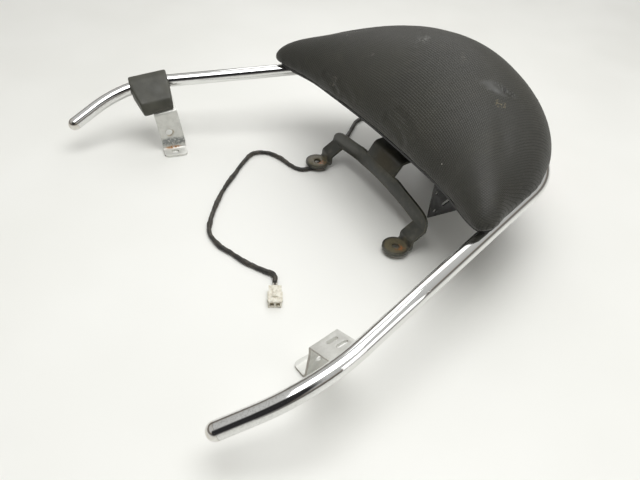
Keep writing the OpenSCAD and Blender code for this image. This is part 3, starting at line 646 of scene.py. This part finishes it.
def vinyl():
    k = Mat("embossed_vinyl", (0.030, 0.029, 0.025), 0.46)
    uv = k.node("ShaderNodeUVMap", uv_map="weave").outputs[0]
    sep = k.node("ShaderNodeSeparateXYZ"); k.put(sep.inputs[0], uv)
    warp = k.math("MULTIPLY", k.math("SUBTRACT", k.noise(9, 2), 0.5), 0.0012)
    u = k.math("ADD", sep.outputs[0], warp)
    v = k.math("ADD", sep.outputs[1], warp)
    P = 0.0056
    su = k.math("SINE", k.math("MULTIPLY", u, 2 * math.pi / P))
    sv = k.math("SINE", k.math("MULTIPLY", v, 2 * math.pi / (P * 0.86)))
    dots = k.math("MULTIPLY", su, sv)
    dots = k.math("ABSOLUTE", dots)
    dots = k.ramp(dots, 0.04, 0.62)
    # worn smooth places
    worn = k.near(SPOT["patch"][0], 0.004, 0.0125, (0.62, 1.25, 1.1), rot=-0.4, wobble=0.012, wscale=150)
    sc1 = k.near(SPOT["scuff"][0], 0.001, 0.0120, (1.0, 1.6, 1.0), rot=0.6, wobble=0.014, wscale=170)
    sc1 = k.math("MULTIPLY", sc1, k.ramp(k.noise(260, 4), 0.46, 0.60))
    yel = k.near(SPOT["scratch"][0], 0.0005, 0.0078, (1.0, 1.2, 1.0), wobble=0.010, wscale=260)
    yel = k.math("MULTIPLY", yel, k.ramp(k.noise(480, 4), 0.50, 0.60))
    tear = k.near(SPOT["tear"][0], 0.0004, 0.0062, (0.8, 3.6, 1.2), rot=0.5, wobble=0.004, wscale=300)
    lf = k.near(SPOT["left"][0], 0.001, 0.0125, (1.9, 0.8, 1.0), rot=0.3, wobble=0.014, wscale=140)
    lf = k.math("MULTIPLY", lf, k.ramp(k.noise(300, 4), 0.48, 0.62))
    md = k.near(SPOT["mid"][0], 0.0004, 0.0060, (1.0, 1.5, 1.0), wobble=0.008, wscale=240)
    md = k.math("MULTIPLY", md, k.ramp(k.noise(350, 3), 0.52, 0.62))
    ft = k.near(SPOT["faint"][0], 0.001, 0.0110, (1.0, 1.8, 1.0), wobble=0.012, wscale=150)
    ft = k.math("MULTIPLY", ft, k.ramp(k.noise(300, 3), 0.50, 0.64))
    d1 = k.near(SPOT["dot"][0], 0.0003, 0.0009)
    d2 = k.near(SPOT["dot2"][0], 0.0003, 0.0009)
    broad = k.ramp(k.noise(7, 4), 0.35, 0.70)
    c = k.mix(broad, (0.026, 0.0255, 0.0190), (0.041, 0.0395, 0.0275))
    c = k.mix(k.math("MULTIPLY", k.ramp(k.noise(70, 5, 0.7), 0.52, 0.75), 0.35), c, (0.062, 0.059, 0.042))
    # painted shade in the hollows between the raised dots of the weave
    c = k.mix(k.math("MULTIPLY", k.math("SUBTRACT", 1.0, dots), 0.55), c, (0.013, 0.0125, 0.0095))
    c = k.mix(k.math("MULTIPLY", worn, 0.70), c, (0.062, 0.062, 0.058))
    c = k.mix(k.math("MULTIPLY", sc1, 0.60), c, (0.20, 0.20, 0.185))
    c = k.mix(k.math("MULTIPLY", yel, 0.75), c, (0.30, 0.25, 0.14))
    c = k.mix(k.math("MULTIPLY", lf, 0.50), c, (0.16, 0.15, 0.12))
    c = k.mix(k.math("MULTIPLY", md, 0.50), c, (0.16, 0.15, 0.13))
    c = k.mix(k.math("MULTIPLY", ft, 0.35), c, (0.13, 0.125, 0.105))
    c = k.mix(k.math("ADD", d1, d2, clamp=True), c, (0.45, 0.43, 0.38))
    c = k.mix(k.math("MULTIPLY", tear, 0.9), c, (0.008, 0.007, 0.006))
    r = k.lerp(dots, 0.62, 0.44)
    r = k.math("ADD", r, k.math("MULTIPLY", k.math("SUBTRACT", k.noise(30, 4), 0.5), 0.14))
    r = k.lerp(worn, r, 0.47)
    flat = k.math("SUBTRACT", 1.0, k.math("MULTIPLY", worn, 0.9))
    h = k.math("MULTIPLY", dots, flat)
    h = k.math("ADD", h, k.math("MULTIPLY", k.noise(900, 2), 0.12))
    h = k.math("SUBTRACT", h, k.math("MULTIPLY", tear, 2.0))
    n = k.bump(h, 0.75, 0.00042)
    k.b.inputs["Sheen Weight"].default_value = 0.05
    k.b.inputs["Sheen Roughness"].default_value = 0.4
    return k.done(c, r, n)


paint(pad, vinyl())
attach(pad, "root")
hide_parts("pad_cushion")

# ------------------------------------------------------------------ skins of the hard parts
CHROME = chrome()
paint("grab_rail", CHROME)
CAPS = cap_chrome()
paint("end_cap_left", CAPS)
paint("end_cap_right", CAPS)
for p in NODES["grab_rail"].data.polygons:
    p.use_smooth = True

near_strap = softened("front_strap_left", "front_strap_left_plate", 0.0003)
far_strap = softened("front_strap_right", "front_strap_right_plate", 0.0003)
paint(near_strap, zinc("zinc_plate_left"))
paint(far_strap, zinc("zinc_plate_right", [
    # a dark grey band along the bend above the foot: painted dark reflection
    ((-0.2000, -0.1560, 0.0065), 0.0030, 0.0070, (0.6, 0.20, 1.0), (0.30, 0.31, 0.30)),
    ((-0.1985, -0.1560, -0.0012), 0.0006, 0.0026, (0.8, 0.15, 1.0), (0.46, 0.21, 0.055)),
    ((-0.2010, -0.1580, 0.0190), 0.0030, 0.0062, (1, 1, 1), (0.42, 0.36, 0.26))]))
bracket = softened("centre_bracket", "centre_bracket_plate", 0.0006)
paint(bracket, black_steel())

cover = copy_node("strap_cover_right", "strap_cover_shell")
m = cover.modifiers.new("r", "REMESH")
m.mode = "VOXEL"
m.voxel_size = 0.0009
m = cover.modifiers.new("s", "SMOOTH")
m.factor = 0.6
m.iterations = 16
apply(cover)
for p in cover.data.polygons:
    p.use_smooth = True
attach(cover, "root")
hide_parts("strap_cover_right")
paint(cover, plastic("moulded_cover", (0.044, 0.044, 0.034), (0.066, 0.065, 0.050), 0.46, 900, 0.35))

SCREW = simple("zinc_screw", (0.62, 0.62, 0.60), (0.40, 0.38, 0.34), 0.33, 1.0, 300)
DARK = simple("dark_screw", (0.05, 0.05, 0.05), (0.09, 0.085, 0.07), 0.40, 0.7, 300)
for n in ("clamp_screws", "tab_screws", "side_plate_screws", "lamp_screws", "tongue_washers", "cover_screws"):
    paint(n, SCREW)
paint("tongue_bolts", DARK)
paint("pad_tray", plastic("tray_plastic", (0.014, 0.014, 0.014), (0.024, 0.023, 0.022), 0.55, 700, 0.3))
clamp = softened("rail_clamps", "rail_clamp_bands", 0.0003)
tabs = softened("rail_tabs", "rail_tab_plates", 0.0003)
paint(clamp, zinc("zinc_clamp"))
paint(tabs, zinc("zinc_tab"))
side = softened("side_plate", "side_plate_sheet", 0.00025)
paint(side, thin_black())
housing = softened("lamp_housing", "lamp_housing_shell", 0.0008)
paint(housing, plastic("housing_plastic", (0.013, 0.013, 0.014), (0.022, 0.022, 0.022), 0.42, 800, 0.25))
lens = softened("lamp_lens", "lamp_lens_shell", 0.0006)
paint(lens, red_lens())
paint("lamp_board", simple("circuit_board", (0.02, 0.12, 0.045), (0.03, 0.18, 0.07), 0.35, 0.0, 150))
paint("lamp_leds", simple("diode_resin", (0.75, 0.74, 0.70), (0.85, 0.84, 0.80), 0.12, 0.0, 150))
paint("harness_grommet", simple("grommet_rubber", (0.015, 0.015, 0.015), (0.030, 0.029, 0.027), 0.60, 0.0, 300, 0.2))
paint("plug_wires", simple("wire_sleeve", (0.55, 0.53, 0.47), (0.38, 0.36, 0.31), 0.45, 0.0, 300))
plug = softened("connector_housing", "connector_shell", 0.00035)
paint(plug, ivory())
paint("connector_terminals", simple("tinned_brass", (0.62, 0.46, 0.20), (0.45, 0.34, 0.16), 0.28, 1.0, 400))

# ------------------------------------------------------------------ stage and light
floor = obj("floor", [(-4, -4, FLOOR - 0.00006), (4, -4, FLOOR - 0.00006), (4, 4, FLOOR - 0.00006), (-4, 4, FLOOR - 0.00006)], [(0, 1, 2, 3)], smooth=False)
k = Mat("floor_paint", (0.82, 0.82, 0.80), 0.42)
paint(floor, k.done(k.mix(k.ramp(k.noise(3, 3), 0.3, 0.7), (0.82, 0.82, 0.780), (0.85, 0.85, 0.815)), k.ramp(k.noise(6, 3), 0.3, 0.7, 0.36, 0.50)))

world = bpy.data.worlds.new("studio")
SCENE.world = world
world.use_nodes = True
wt = world.node_tree
bg = next(n for n in wt.nodes if n.type == "BACKGROUND")
tc = wt.nodes.new("ShaderNodeTexCoord")
sx = wt.nodes.new("ShaderNodeSeparateXYZ")
wt.links.new(tc.outputs["Generated"], sx.inputs[0])
rp = wt.nodes.new("ShaderNodeValToRGB")
wt.links.new(sx.outputs[2], rp.inputs[0])
el = rp.color_ramp.elements
el[0].position = 0.0; el[0].color = (0.62, 0.61, 0.58, 1)
el[1].position = 1.0; el[1].color = (0.95, 0.95, 0.93, 1)
for pos, col in ((0.10, (0.36, 0.35, 0.33, 1)), (0.27, (0.20, 0.19, 0.18, 1)), (0.31, (0.42, 0.25, 0.12, 1)), (0.34, (0.40, 0.39, 0.37, 1)), (0.44, (0.75, 0.75, 0.73, 1))):
    e = el.new(pos); e.color = col
# a dark patch of the room on one side, which the chrome picks up as a soft black band
dot = wt.nodes.new("ShaderNodeVectorMath")
dot.operation = "DOT_PRODUCT"
wt.links.new(tc.outputs["Generated"], dot.inputs[0])
dot.inputs[1].default_value = (0.656, -0.461, 0.595)
mr = wt.nodes.new("ShaderNodeMapRange")
mr.interpolation_type = "SMOOTHSTEP"
wt.links.new(dot.outputs["Value"], mr.inputs[0])
for i, x in enumerate((0.80, 0.92, 0.0, 1.0)):
    mr.inputs[1 + i].default_value = x
mx = wt.nodes.new("ShaderNodeMix")
mx.data_type = "RGBA"
wt.links.new(mr.outputs[0], mx.inputs[0])
wt.links.new(rp.outputs[0], mx.inputs[6])
mx.inputs[7].default_value = (0.045, 0.044, 0.046, 1)
wt.links.new(mx.outputs[2], bg.inputs[0])
bg.inputs[1].default_value = 0.66


def area(name, loc, target, size, power, size_y=None):
    d = bpy.data.lights.new(name, "AREA")
    d.shape = "RECTANGLE"
    d.size = size
    d.size_y = size_y or size
    d.energy = power
    o = bpy.data.objects.new(name, d)
    COL.objects.link(o)
    o.location = loc
    o.rotation_euler = (Vector(target) - Vector(loc)).to_track_quat("-Z", "Y").to_euler()
    return o


area("key", (0.14, -0.02, 1.35), (0.0, 0.0, 0), 1.2, 13.5, 1.0)
area("fill", (-1.3, 0.9, 1.3), (0, 0, 0.05), 1.4, 7.0)
area("side", (1.5, 1.0, 0.9), (0, 0, 0.05), 1.0, 4.0)
SCENE.view_settings.view_transform = "Standard"
